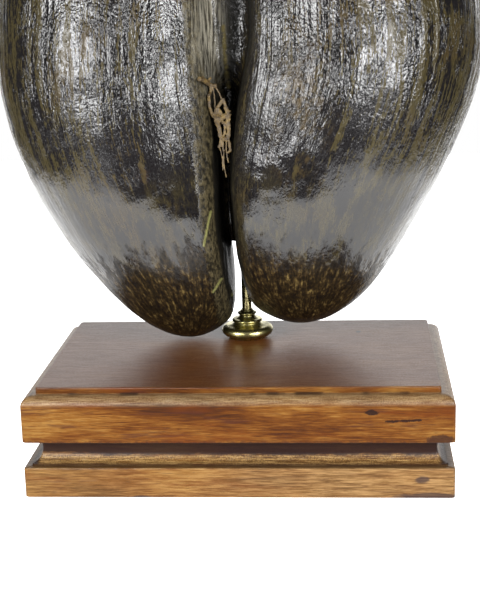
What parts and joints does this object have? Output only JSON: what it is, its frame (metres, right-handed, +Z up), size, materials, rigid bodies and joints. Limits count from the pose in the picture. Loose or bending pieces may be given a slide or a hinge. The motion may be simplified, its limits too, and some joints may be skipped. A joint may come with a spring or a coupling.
{
  "type": "coco de mer nut on a stand",
  "caption": "Polished two-lobed sea coconut held lobes-down on a brass rod with a turned collar, over a moulded wooden plinth.",
  "frame": {"origin": "centre of the plinth's underside", "axes": "+Z up; -Y is the front, the side of the nut with the germination pore; +X is to the right in the picture"},
  "size_m": [0.2969, 0.2311, 0.381],
  "materials": {
    "nut_shell": "near-black, streaked olive brown, glossy varnish",
    "dry_fibre": "dry, matt",
    "aged_brass": "polished, toned with age",
    "varnished_wood": "varnished, warm brown"
  },
  "bodies": {
    "root": {"nut": "nut_shell", "fibre_tuft": "dry_fibre", "rod": "aged_brass", "collar": "aged_brass", "rod_washer": "aged_brass", "rod_locknut": "aged_brass", "top_board": "varnished_wood", "base_board": "varnished_wood"}
  },
  "joints": []
}
